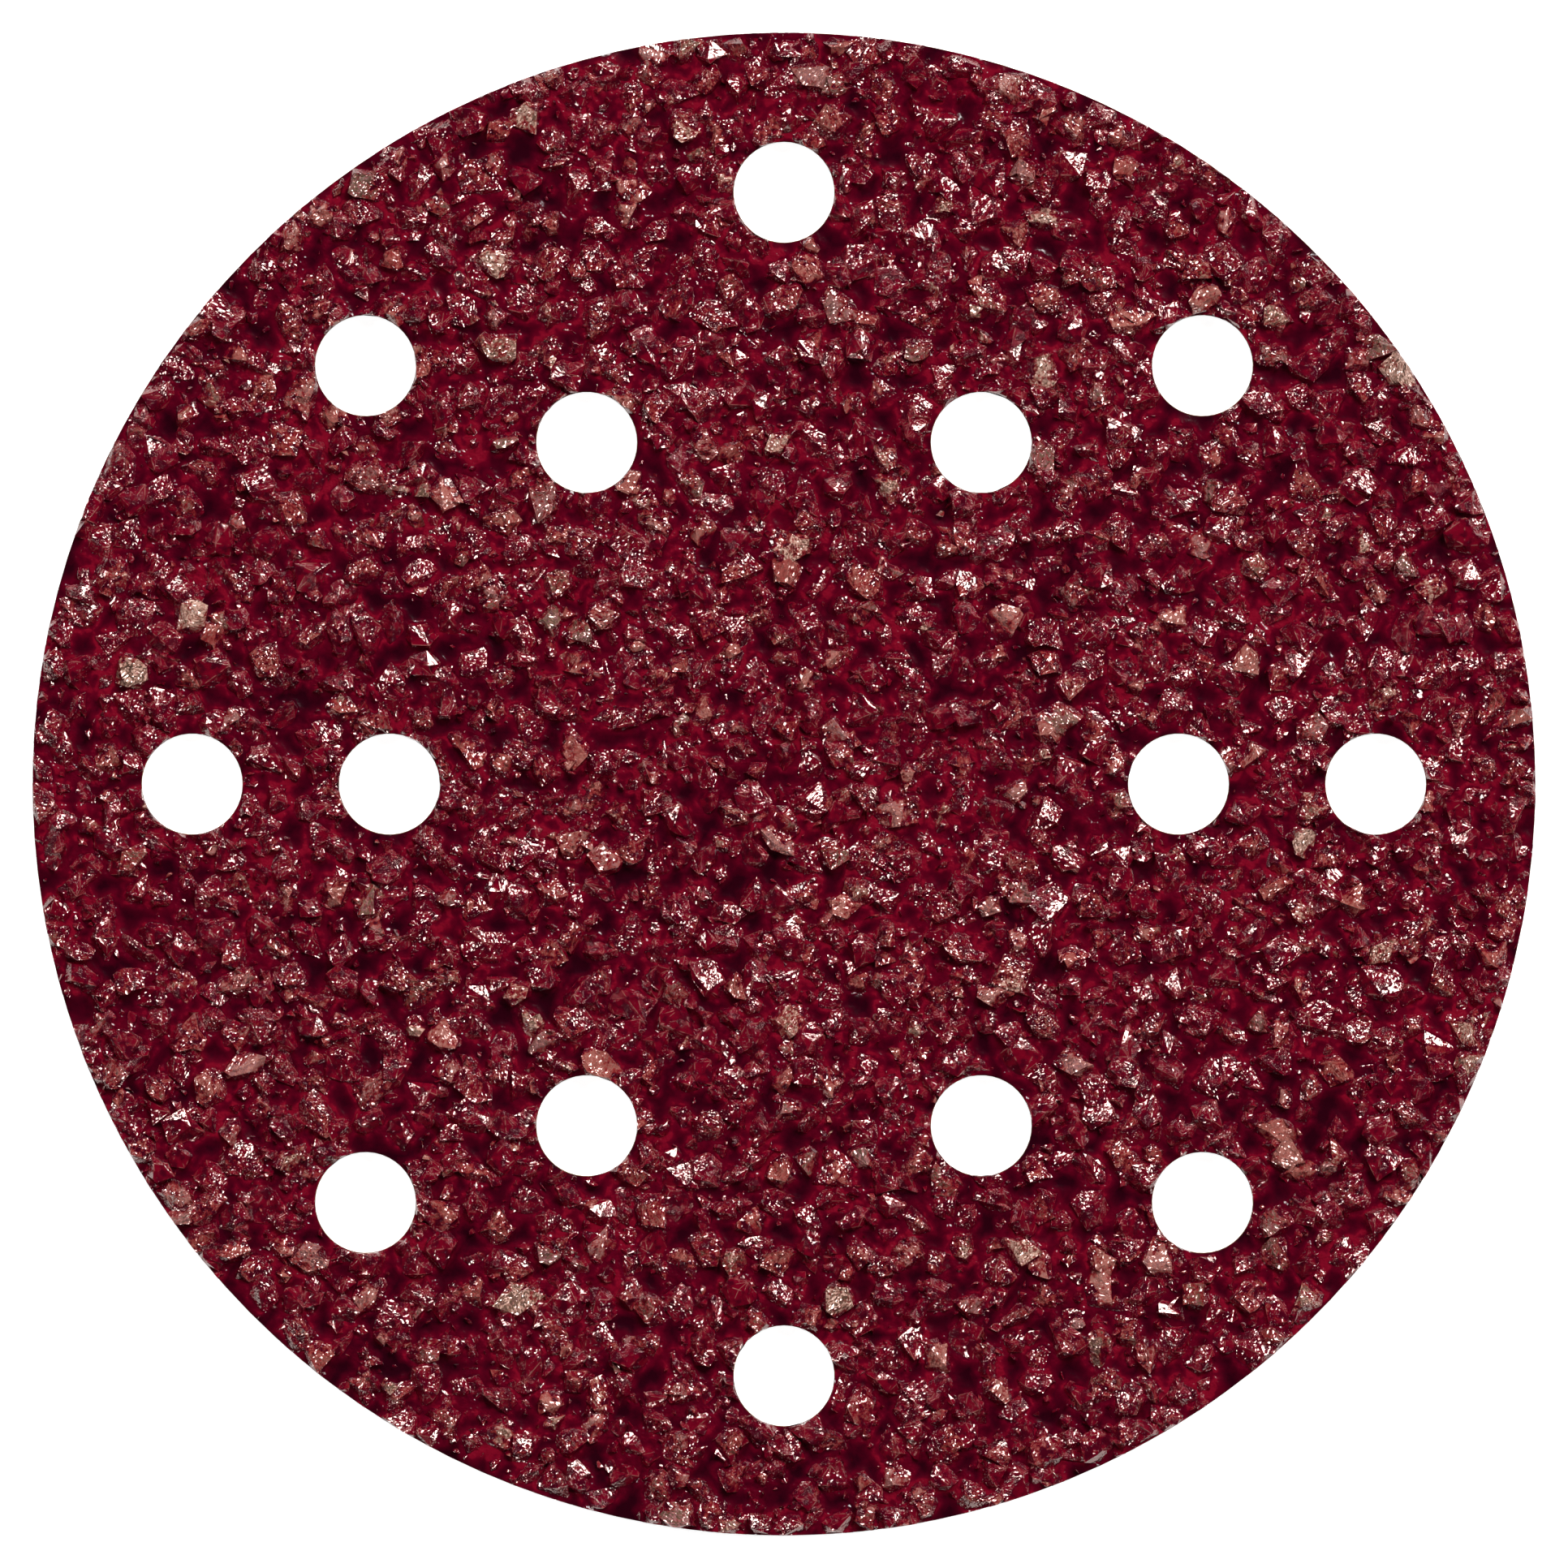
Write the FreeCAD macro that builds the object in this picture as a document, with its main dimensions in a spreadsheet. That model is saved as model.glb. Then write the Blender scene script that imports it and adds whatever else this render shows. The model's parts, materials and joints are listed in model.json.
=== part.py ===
import FreeCAD, Part

import math
import os
import random

import Sketcher
from FreeCAD import Placement, Rotation, Vector

# Hook and loop sanding disc, 6 inch class, with two rings of dust holes.
#
# The disc is a laminate that is punched out of one wide coated web, so every layer
# has the same round outline and the same holes. From the pad upwards it is:
#   loop_backing   knitted loop fabric that grips the hooks of the sander's pad
#   backing_paper  heavy paper that carries the abrasive
#   abrasive_coat  crushed grain, locked together by the hardened resin between
#
# Frame: millimetres, +Z up out of the abrasive face. The origin is the disc's centre
# on the underside of the loops, where the disc rests on the pad or on a bench.
# The hole rings start on +X.

# Name, value and meaning of each driving dimension.
DIMENSIONS = [
    ("disc_diameter", 152.4, "outline of the disc"),
    ("hole_diameter", 10.2, "each dust hole"),
    ("rim_to_outer_ring", 16.2, "from the outline in to the centres of the outer holes"),
    ("outer_ring_count", 8, "holes in the outer ring"),
    ("ring_step", 20.0, "from the outer ring in to the centres of the inner holes"),
    ("inner_ring_count", 6, "holes in the inner ring"),
    ("loop_thickness", 1.1, "loop fabric, pile included"),
    ("paper_thickness", 0.45, "backing paper"),
    ("grain_spacing", 3.05, "from one grain tip to the next"),
    ("seam_stray", 0.75, "how far a corner between grains strays from its place"),
    ("tip_stray", 0.45, "how far a grain's tip strays from its middle"),
    ("seam_height_low", 0.35, "deepest seam between grains, over the paper"),
    ("seam_height_high", 0.7, "shallowest seam between grains, over the paper"),
    ("tip_height_low", 0.95, "lowest grain tip, over the paper"),
    ("tip_height_high", 1.75, "highest grain tip, over the paper"),
    ("cut_height_low", 0.6, "lowest grain left along a cut edge, over the paper"),
    ("cut_height_high", 1.3, "highest grain left along a cut edge, over the paper"),
    ("edge_break", 0.2, "how far the punch breaks the coat back from a cut edge"),
]

# The radius of each hole ring, as an expression of the driving dimensions.
RING_RADIUS = {
    "outer": "dims.disc_diameter / 2 - dims.rim_to_outer_ring",
    "inner": "dims.disc_diameter / 2 - dims.rim_to_outer_ring - dims.ring_step",
}

GRAIN_SEED = 7
# A grain corner this near to a cut edge, as a share of the grid's side, is moved onto it.
SNAP_SHARE = 0.28
# Most that the coat's cut edge turns from one facet of its wall to the next, in degrees.
CUT_FACET_TURN = 20.0
OUTLINE = "outline"
HOLE = "hole"

# The sketcher's numbers for the horizontal axis, its start at the origin and a circle's centre.
AXIS = -1
ORIGIN = 1
CENTRE = 3


def make_sheet(doc):
    """The spreadsheet that holds the driving dimensions, one alias a row."""
    sheet = doc.addObject("Spreadsheet::Sheet", "dims")
    for row, (alias, value, meaning) in enumerate(DIMENSIONS, start=1):
        sheet.set(f"A{row}", meaning)
        sheet.set(f"B{row}", str(value))
        sheet.setAlias(f"B{row}", alias)
    doc.recompute()
    return sheet


def origin_feature(body, role):
    """The body's own origin plane or axis with this role."""
    return next(f for f in body.Origin.OriginFeatures if f.Role == role)


def circle_sketch(body, name, diameter, centre_x=None):
    """A sketch on the body's XY plane with one circle, centred on the origin or out on +X.

    diameter and centre_x are expressions of the driving dimensions.
    """
    sketch = body.newObject("Sketcher::SketchObject", name)
    sketch.AttachmentSupport = [(origin_feature(body, "XY_Plane"), "")]
    sketch.MapMode = "FlatFace"
    drawn = Part.Circle(Vector(1 if centre_x else 0, 0, 0), Vector(0, 0, 1), 1)
    circle = sketch.addGeometry(drawn, False)

    def constrain(*words):
        return sketch.addConstraint(Sketcher.Constraint(*words))

    if centre_x:
        constrain("PointOnObject", circle, CENTRE, AXIS)
        reach = constrain("DistanceX", AXIS, ORIGIN, circle, CENTRE, 1)
        sketch.setExpression(f"Constraints[{reach}]", centre_x)
    else:
        constrain("Coincident", circle, CENTRE, AXIS, ORIGIN)
    width = constrain("Diameter", circle, 2)
    sketch.setExpression(f"Constraints[{width}]", diameter)
    return sketch


def punch_ring(body, ring, radius):
    """Punches one ring of dust holes, with their centres at this radius, through the layer."""
    name = f"{body.Name}_{ring}_hole"
    sketch = circle_sketch(body, name, "dims.hole_diameter", radius)
    pocket = body.newObject("PartDesign::Pocket", f"{body.Name}_{ring}_punch")
    pocket.Profile = sketch
    pocket.Type = "ThroughAll"
    pocket.Midplane = True
    pattern = body.newObject("PartDesign::PolarPattern", f"{body.Name}_{ring}_ring")
    pattern.Originals = [pocket]
    pattern.Axis = (origin_feature(body, "Z_Axis"), [""])
    pattern.Angle = 360
    pattern.setExpression("Occurrences", f"dims.{ring}_ring_count")
    body.Tip = pattern


def flat_layer(doc, name, thickness, underside):
    """One flat layer of the laminate: a round blank with both rings of holes punched in it.

    thickness and underside, the height that it lies at, are expressions.
    """
    body = doc.addObject("PartDesign::Body", name)
    body.Label = name
    pad = body.newObject("PartDesign::Pad", f"{name}_blank")
    pad.Profile = circle_sketch(body, f"{name}_outline", "dims.disc_diameter")
    pad.setExpression("Length", thickness)
    for ring, radius in RING_RADIUS.items():
        punch_ring(body, ring, radius)
    body.setExpression("Placement.Base.z", underside)
    return body


class CoatField:
    """Where the coat lies: on the paper, back from its outline and its holes."""

    def __init__(self, paper, edge_break):
        top = max(paper.Shape.Faces, key=lambda face: face.CenterOfMass.z)
        self.edges = []
        for wire in top.Wires:
            circle = wire.Edges[0].Curve
            centre = Vector(circle.Center.x, circle.Center.y, 0)
            if wire.isSame(top.OuterWire):
                self.edges.append((OUTLINE, centre, circle.Radius - edge_break))
            else:
                self.edges.append((HOLE, centre, circle.Radius + edge_break))
        self.reach = top.BoundBox.XMax

    def nearest_edge(self, point):
        """The centre and radius of the cut edge that the point is nearest to."""
        return min(self.edges, key=lambda edge: self.inside(point, edge))[1:]

    def inside(self, point, edge):
        """How far the point lies on the coat's side of this cut edge."""
        kind, centre, radius = edge
        beyond = point.distanceToPoint(centre) - radius
        return -beyond if kind == OUTLINE else beyond

    def depth(self, point):
        """How far the point lies inside the coat, negative in a hole or past the outline."""
        return min(self.inside(point, edge) for edge in self.edges)

    def onto_edge(self, point):
        """The point moved straight onto the cut edge that it is nearest to."""
        centre, radius = self.nearest_edge(point)
        return centre + (point - centre).normalize() * radius

    def along_edge(self, start, end):
        """Points between two points of one cut edge, so that its facets turn gently."""
        centre, radius = self.nearest_edge(start)
        turn = math.degrees((start - centre).getAngle(end - centre))
        steps = math.ceil(turn / CUT_FACET_TURN)
        points = []
        for k in range(1, steps):
            between = start + (end - start) * (k / steps)
            points.append(centre + (between - centre).normalize() * radius)
        return points


def seam_corners(field, spacing, stray, draw):
    """Where seams between grains meet, on a triangular grid: each point and its depth.

    Depth is 0 on a cut edge, positive inside the coat and negative outside it.
    """
    side = spacing * math.sqrt(3)
    row_step = side * math.sqrt(3) / 2
    rows = math.ceil(field.reach / row_step) + 1
    corners = {}
    for j in range(-rows, rows + 1):
        for i in range(-2 * rows, 2 * rows + 1):
            point = Vector((i + j / 2) * side, j * row_step, 0)
            shift = Vector(draw.uniform(-stray, stray), draw.uniform(-stray, stray), 0)
            depth = field.depth(point)
            if abs(depth) <= SNAP_SHARE * side:
                corners[i, j] = (field.onto_edge(point), 0.0)
            elif depth > 0:
                corners[i, j] = (point + shift, depth)
            else:
                corners[i, j] = (point, depth)
    return corners


def middle_of(cell, spots):
    return sum((spots[key] for key in cell), Vector()) / len(cell)


def sides_of(cell):
    return list(zip(cell, cell[1:] + cell[:1]))


def cut_sides_of(cells):
    """The sides that only one cell has, which are those along a cut edge."""
    sides = dict.fromkeys(side for cell in cells for side in sides_of(cell))
    return [(a, b) for a, b in sides if (b, a) not in sides]


def grain_cells(field, corners):
    """The flat outline of each grain, clipped at the cut edges.

    Returns the outlines as lists of keys, and the point that each key stands for.
    Neighbours share their keys, so that the coat closes without gaps.
    """
    spots = {}
    cells = []
    for i, j in sorted(corners):
        for ring in (
            [(i, j), (i + 1, j), (i, j + 1)],
            [(i + 1, j), (i + 1, j + 1), (i, j + 1)],
        ):
            if any(key not in corners for key in ring):
                continue
            cell = []
            for key, after in sides_of(ring):
                here, depth = corners[key]
                there, depth_there = corners[after]
                if depth >= 0:
                    spots[key] = here
                    cell.append(key)
                if depth * depth_there < 0:
                    crossing = frozenset((key, after))
                    share = depth / (depth - depth_there)
                    if crossing not in spots:
                        spots[crossing] = field.onto_edge(here + (there - here) * share)
                    cell.append(crossing)
            if len(cell) >= 3 and field.depth(middle_of(cell, spots)) > 0:
                cells.append(cell)
    return cells, spots


def rounded_cells(field, cells, spots):
    """The cells again, with more points where one follows a cut edge round a hole."""
    cut_sides = set(cut_sides_of(cells))
    rounded = []
    for cell in cells:
        outline = []
        for a, b in sides_of(cell):
            outline.append(a)
            if (a, b) not in cut_sides:
                continue
            for k, point in enumerate(field.along_edge(spots[a], spots[b])):
                spots[a, b, k] = point
                outline.append((a, b, k))
        rounded.append(outline)
    return rounded


def polygon_face(points):
    return Part.Face(Part.makePolygon(points + points[:1]))


def raised_seams(dims, cells, spots, cut_sides, draw):
    """Every corner of the cells, raised to its height over the paper."""
    cut_keys = {key for side in cut_sides for key in side}
    seams = {}
    for key in dict.fromkeys(key for cell in cells for key in cell):
        if key in cut_keys:
            height = draw.uniform(dims.cut_height_low, dims.cut_height_high)
        else:
            height = draw.uniform(dims.seam_height_low, dims.seam_height_high)
        seams[key] = spots[key] + Vector(0, 0, height)
    return seams


def grain_facets(dims, cells, spots, seams, draw):
    """The flat facets of every grain, from each side of its outline up to its tip."""
    facets = []
    for cell in cells:
        stray = Vector(draw.uniform(-1, 1), draw.uniform(-1, 1), 0) * dims.tip_stray
        height = draw.uniform(dims.tip_height_low, dims.tip_height_high)
        tip = middle_of(cell, spots) + stray + Vector(0, 0, height)
        for a, b in sides_of(cell):
            facets.append(polygon_face([seams[a], seams[b], tip]))
    return facets


def walls_and_underside(cut_sides, spots, seams):
    """The sheer walls along the cut edges, and the flat underside that they stand round."""
    faces = [
        polygon_face([seams[b], seams[a], spots[a], spots[b]]) for a, b in cut_sides
    ]
    feet = [Part.makeLine(spots[a], spots[b]) for a, b in cut_sides]
    loops = [Part.Wire(run) for run in Part.sortEdges(feet)]
    faces.append(Part.makeFace(loops, "Part::FaceMakerBullseye"))
    return faces


def coat_solid(dims, paper):
    """The abrasive coat as one closed solid that stands on the plane z = 0.

    Each grain is a crushed crystal: a tip over an uneven outline of seams, with a flat
    facet from each side up to the tip. Sheer walls close the coat where it was punched.
    """
    draw = random.Random(GRAIN_SEED)
    field = CoatField(paper, dims.edge_break)
    corners = seam_corners(field, dims.grain_spacing, dims.seam_stray, draw)
    cells, spots = grain_cells(field, corners)
    cells = rounded_cells(field, cells, spots)
    cut_sides = cut_sides_of(cells)
    seams = raised_seams(dims, cells, spots, cut_sides, draw)
    faces = grain_facets(dims, cells, spots, seams, draw)
    faces += walls_and_underside(cut_sides, spots, seams)
    return Part.Solid(Part.Shell(faces))


def coat_layer(doc, dims, name, paper):
    """The abrasive coat as a document object, lying on the paper."""
    layer = doc.addObject("Part::Feature", name)
    layer.Label = name
    layer.Shape = coat_solid(dims, paper)
    layer.Placement = Placement(Vector(0, 0, paper.Shape.BoundBox.ZMax), Rotation())
    return layer


def check_layers(doc, layers):
    """Stops the build if any feature failed or a layer isn't one sound solid."""
    for item in doc.Objects:
        if {"Invalid", "Error"} & set(item.State):
            raise RuntimeError(f"{item.Name} failed: {item.State}")
    for layer in layers:
        shape = layer.Shape
        if shape.isNull() or not shape.isValid() or len(shape.Solids) != 1:
            raise RuntimeError(f"{layer.Label} isn't one valid solid")


def main():
    doc = FreeCAD.newDocument("sanding_disc")
    dims = make_sheet(doc)
    loops = flat_layer(doc, "loop_backing", "dims.loop_thickness", "0 mm")
    paper = flat_layer(
        doc, "backing_paper", "dims.paper_thickness", "dims.loop_thickness"
    )
    doc.recompute()
    coat = coat_layer(doc, dims, "abrasive_coat", paper)
    doc.recompute()

    layers = [loops, paper, coat]
    check_layers(doc, layers)
    os.makedirs("parts", exist_ok=True)
    for layer in layers:
        layer.Shape.exportStep(f"parts/{layer.Label}.step")
        box = layer.Shape.BoundBox
        print(
            f"{layer.Label}: {len(layer.Shape.Faces)} faces, "
            f"{layer.Shape.Volume:.0f} mm3, z {box.ZMin:.2f} to {box.ZMax:.2f} mm"
        )


main()
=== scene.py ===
# %% [markdown]
# A hook and loop sanding disc, seen from straight above.
#
# The disc is a thin laminate: loop fabric below, heavy paper, then a coat of crushed
# dark red grain set in glossy resin. The frame below gives the disc its real size. What
# makes it look real is the coat: thousands of broken crystals, wet with resin at their
# feet, each catching the light on its own facets. So most of this lesson is about
# breaking, scattering, cutting and colouring grain.

# %% Load the frame
import json
import math
import random

import bmesh
import bpy
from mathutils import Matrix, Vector, kdtree
from mathutils.geometry import delaunay_2d_cdt


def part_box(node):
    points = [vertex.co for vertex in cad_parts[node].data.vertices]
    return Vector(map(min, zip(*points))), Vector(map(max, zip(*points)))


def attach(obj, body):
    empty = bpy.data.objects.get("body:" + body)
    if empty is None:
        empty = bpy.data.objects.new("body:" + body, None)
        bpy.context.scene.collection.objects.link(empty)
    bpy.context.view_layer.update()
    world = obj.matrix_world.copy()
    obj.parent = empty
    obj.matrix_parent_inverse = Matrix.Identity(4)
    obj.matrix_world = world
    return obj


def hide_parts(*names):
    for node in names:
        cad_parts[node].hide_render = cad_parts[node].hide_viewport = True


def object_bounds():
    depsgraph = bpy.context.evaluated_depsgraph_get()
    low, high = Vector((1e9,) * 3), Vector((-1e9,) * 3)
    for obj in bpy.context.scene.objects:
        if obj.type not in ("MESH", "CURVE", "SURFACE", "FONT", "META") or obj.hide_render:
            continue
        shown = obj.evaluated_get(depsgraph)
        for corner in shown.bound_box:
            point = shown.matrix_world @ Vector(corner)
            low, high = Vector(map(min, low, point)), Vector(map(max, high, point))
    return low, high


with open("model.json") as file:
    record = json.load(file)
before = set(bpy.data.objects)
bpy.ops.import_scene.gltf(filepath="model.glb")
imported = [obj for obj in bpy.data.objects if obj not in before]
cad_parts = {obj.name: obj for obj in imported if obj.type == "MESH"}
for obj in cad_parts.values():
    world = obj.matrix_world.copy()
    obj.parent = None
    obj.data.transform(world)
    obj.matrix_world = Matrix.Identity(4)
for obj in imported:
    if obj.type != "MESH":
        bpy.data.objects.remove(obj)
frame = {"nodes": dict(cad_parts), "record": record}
cad_low, cad_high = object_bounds()
print("the frame's box in mm:", [round(1000 * v, 2) for v in (*cad_low, *cad_high)])

# %% [markdown]
# Everything else is worked out from the frame. The record states the two rings of dust
# holes, so the holes of every new piece come from there. Lengths are in metres, and MM
# makes them easy to read.

# %% Measure the frame
MM = 0.001
ROOT = "root"

rim_radius = cad_high.x
loop_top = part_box("loop_backing")[1].z
paper_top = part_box("backing_paper")[1].z
coat_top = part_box("abrasive_coat")[1].z

rings = [m["dims"] for m in frame["record"]["mounts"] if m["kind"] == "bolt_pattern"]
hole_radius = rings[0]["hole_r_mm"] * MM
hole_centres = []
for ring in rings:
    for k in range(ring["count"]):
        turn = 2 * math.pi * k / ring["count"]
        reach = ring["pcd_mm"] / 2 * MM
        hole_centres.append(Vector((reach * math.cos(turn), reach * math.sin(turn), 0)))
print(len(hole_centres), "dust holes; coat from", paper_top / MM, "to", coat_top / MM, "mm")

# %% [markdown]
# The photograph looks straight down and fills its frame with the disc. A long lens a
# few metres away keeps the sides of the dust holes out of sight, as they are there. The
# distance follows from how wide the picture is at the grain's height.

# %% Camera
LENS = 1500.0
SENSOR = 36.0
FRAME_WIDTH = 158.94 * MM


def show(name, data):
    """A new object in the scene for a camera, a lamp or a mesh."""
    item = bpy.data.objects.new(name, data)
    bpy.context.scene.collection.objects.link(item)
    return item


camera_data = bpy.data.cameras.new("camera")
camera_data.lens = LENS
camera_data.sensor_width = SENSOR
camera_data.clip_end = 100
camera = show("camera", camera_data)
camera.location = (0, 0, coat_top + FRAME_WIDTH * LENS / SENSOR)
bpy.context.scene.camera = camera
bpy.context.scene.view_settings.view_transform = "Standard"
print("camera at", round(camera.location.z, 3), "m")

# %% [markdown]
# Node trees are easier to read when adding a node is one line. The first helper adds a
# node, sets its properties, and links or fills in its inputs. The others are short names
# for what the trees need again and again.

# %% Helpers for node trees


def add(tree, kind, inputs=(), **settings):
    """Adds a node. inputs maps a socket's name or number to a value or to another socket."""
    node = tree.nodes.new(kind)
    for name, value in settings.items():
        setattr(node, name, value)
    for name, value in dict(inputs).items():
        if isinstance(value, bpy.types.NodeSocket):
            tree.links.new(value, node.inputs[name])
        else:
            node.inputs[name].default_value = value
    return node


def calc(tree, operation, *values):
    """A Math node's result."""
    return add(tree, "ShaderNodeMath", enumerate(values), operation=operation).outputs[0]


def plus(tree, first, second):
    return calc(tree, "ADD", first, second)


def times(tree, first, second):
    return calc(tree, "MULTIPLY", first, second)


def swing(tree, value, reach):
    """Turns a value from 0 to 1 into one that swings round nought, reach wide in all."""
    return times(tree, calc(tree, "SUBTRACT", value, 0.5), reach)


def vector_calc(tree, operation, *values):
    """A Vector Math node's vector result."""
    return add(tree, "ShaderNodeVectorMath", enumerate(values), operation=operation).outputs[0]


def scale(tree, vector, factor):
    """A vector times a number."""
    inputs = {0: vector, "Scale": factor}
    return add(tree, "ShaderNodeVectorMath", inputs, operation="SCALE").outputs[0]


def axis(tree, vector, number):
    """One coordinate of a vector: number 0, 1 or 2."""
    return add(tree, "ShaderNodeSeparateXYZ", {0: vector}).outputs[number]


def upright(tree, height):
    """A vector that points straight up, this long."""
    return add(tree, "ShaderNodeCombineXYZ", {2: height}).outputs[0]


def noise(tree, place, waves, detail=2.0, roughness=0.5):
    """Smooth noise from 0 to 1, with about this many waves to the metre."""
    inputs = {"Vector": place, "Scale": waves, "Detail": detail, "Roughness": roughness}
    return add(tree, "ShaderNodeTexNoise", inputs).outputs[0]


def remap(tree, value, low, high, to_low=0.0, to_high=1.0):
    """A value taken from one range to another, smoothly, and held inside it."""
    inputs = {0: value, 1: low, 2: high, 3: to_low, 4: to_high}
    return add(tree, "ShaderNodeMapRange", inputs, interpolation_type="SMOOTHSTEP").outputs[0]


def blend(tree, share, first, second):
    """A Mix node for colours."""
    node = add(tree, "ShaderNodeMix", {0: share, 6: first, 7: second}, data_type="RGBA")
    return node.outputs[2]


def ramp(tree, value, stops):
    """A Color Ramp: stops are (place, colour)."""
    node = add(tree, "ShaderNodeValToRGB", {0: value})
    marks = node.color_ramp.elements
    while len(marks) < len(stops):
        marks.new(0.5)
    for mark, (place, colour) in zip(marks, stops):
        mark.position = place
        mark.color = colour
    return node.outputs[0]


def srgb(red, green, blue):
    """A colour written as it looks on screen, 0 to 255, as the linear values nodes take."""
    linear = []
    for part in (red, green, blue):
        share = part / 255
        linear.append(share / 12.92 if share <= 0.04045 else ((share + 0.055) / 1.055) ** 2.4)
    return (*linear, 1.0)


def new_group(name, inputs, outputs=(("Geometry", "Geometry"),), kind="GeometryNodeTree"):
    """A node group with its sockets: inputs are (name, type, value), or without a value."""
    group = bpy.data.node_groups.new(name, kind)
    for way, sockets in (("INPUT", inputs), ("OUTPUT", outputs)):
        for label, socket, *value in sockets:
            made = group.interface.new_socket(label, in_out=way, socket_type="NodeSocket" + socket)
            if value:
                made.default_value = value[0]
    return group, add(group, "NodeGroupInput").outputs, add(group, "NodeGroupOutput").inputs


print("helpers ready")

# %% [markdown]
# A pale studio floor. For the camera and for reflections it glows a little, which lifts
# it to white without any more light on the disc, and it still takes a faint shadow.
# From below it is see-through, so that the loops can be looked at.

# %% Floor and world
FLOOR_RADIUS = 14.0
FLOOR_GLOW = 0.9
FLOOR_GREY = srgb(231, 231, 231)
WORLD_FILL = 0.01


def floor_material():
    material = bpy.data.materials.new("studio_floor")
    material.use_nodes = True
    tree = material.node_tree
    tree.nodes.clear()
    path = add(tree, "ShaderNodeLightPath").outputs
    seen = calc(tree, "MAXIMUM", path["Is Camera Ray"], path["Is Glossy Ray"])
    seen = calc(tree, "MAXIMUM", seen, path["Is Transmission Ray"])
    strength = times(tree, seen, FLOOR_GLOW)
    glow = add(tree, "ShaderNodeEmission", {"Color": (1, 1, 1, 1), "Strength": strength})
    matt = add(tree, "ShaderNodeBsdfDiffuse", {"Color": FLOOR_GREY})
    both = add(tree, "ShaderNodeAddShader", {0: glow.outputs[0], 1: matt.outputs[0]})
    clear = add(tree, "ShaderNodeBsdfTransparent")
    side = add(tree, "ShaderNodeNewGeometry")
    inputs = {0: side.outputs["Backfacing"], 1: both.outputs[0], 2: clear.outputs[0]}
    surface = add(tree, "ShaderNodeMixShader", inputs)
    add(tree, "ShaderNodeOutputMaterial", {"Surface": surface.outputs[0]})
    return material


floor_mesh = bpy.data.meshes.new("floor")
shape = bmesh.new()
bmesh.ops.create_circle(shape, cap_ends=True, segments=64, radius=FLOOR_RADIUS)
shape.to_mesh(floor_mesh)
shape.free()
floor_mesh.materials.append(floor_material())
floor = show("floor", floor_mesh)

world = bpy.data.worlds.new("studio")
bpy.context.scene.world = world
world.use_nodes = True
tree = world.node_tree
tree.nodes.clear()
camera_ray = add(tree, "ShaderNodeLightPath").outputs["Is Camera Ray"]
strength = calc(tree, "MAXIMUM", camera_ray, WORLD_FILL)
sky = add(tree, "ShaderNodeBackground", {"Color": (1, 1, 1, 1), "Strength": strength})
add(tree, "ShaderNodeOutputWorld", {"Surface": sky.outputs[0]})
print("floor", 2 * FLOOR_RADIUS, "m across")

# %% [markdown]
# The photograph was lit from its top and right with small bright lamps: every grain has
# hard little glints, and the resin between them is nearly black. A large soft light
# would put a grey veil on that resin. So there are several small lamps round the disc
# and none overhead. On a white sheet lying flat, they come to a brightness of one.

# %% Lamps
LAMP_DISTANCE = 2.6
# Name, azimuth from +X and elevation in degrees, width in metres, and brightness.
LAMPS = [
    ("key", 56, 48, 1.00, 0.50),
    ("top", 104, 40, 0.72, 0.21),
    ("right", 8, 38, 0.54, 0.12),
    ("left", 162, 44, 0.50, 0.10),
    ("low", 262, 42, 0.44, 0.07),
]

for name, azimuth, elevation, width, brightness in LAMPS:
    azimuth, elevation = math.radians(azimuth), math.radians(elevation)
    toward = Vector((
        math.cos(azimuth) * math.cos(elevation),
        math.sin(azimuth) * math.cos(elevation),
        math.sin(elevation),
    ))
    lamp_data = bpy.data.lights.new(name, "AREA")
    lamp_data.shape = "DISK"
    lamp_data.size = width
    lamp_data.energy = brightness * (math.pi * LAMP_DISTANCE) ** 2 / math.sin(elevation)
    lamp = show(name, lamp_data)
    lamp.location = toward * LAMP_DISTANCE
    lamp.rotation_mode = "QUATERNION"
    lamp.rotation_quaternion = toward.to_track_quat("Z", "Y")
print(len(LAMPS), "lamps")

# %% [markdown]
# The disc is punched out of a wide web, so every layer ends at the same cut. Here is
# that cut as a flat mesh: points along the rim and round each hole, and a loose
# triangular grid of points between. A Delaunay triangulation joins them into even
# triangles, and those that lie in a hole are dropped. Grain is scattered on a coarse
# sheet of this kind, and a closed slab with a fine top becomes the resin.

# %% A punched sheet
# The grid's points stray by this share of the spacing, and keep this share off the cut.
GRID_STRAY = 0.15
GRID_CLEAR = 0.6


def new_mesh(name, verts, faces=()):
    mesh = bpy.data.meshes.new(name)
    mesh.from_pydata(verts, [], faces)
    return mesh


def depth_inside(x, y, edge_break=0.0):
    """How far a point lies inside the punched outline, in metres, negative outside it."""
    depth = rim_radius - edge_break - math.hypot(x, y)
    for centre in hole_centres:
        away = math.hypot(x - centre.x, y - centre.y)
        depth = min(depth, away - hole_radius - edge_break)
    return depth


def ring_of_points(centre, radius, spacing):
    count = max(24, round(2 * math.pi * radius / spacing))
    points = []
    for k in range(count):
        turn = 2 * math.pi * k / count
        x, y = radius * math.cos(turn), radius * math.sin(turn)
        points.append(Vector((centre.x + x, centre.y + y)))
    return points


def cut_rings(spacing, edge_break):
    """The rim and the holes, each as a closed ring of points."""
    rings = [ring_of_points(Vector((0, 0)), rim_radius - edge_break, spacing)]
    for centre in hole_centres:
        rings.append(ring_of_points(centre, hole_radius + edge_break, spacing))
    return rings


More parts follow.
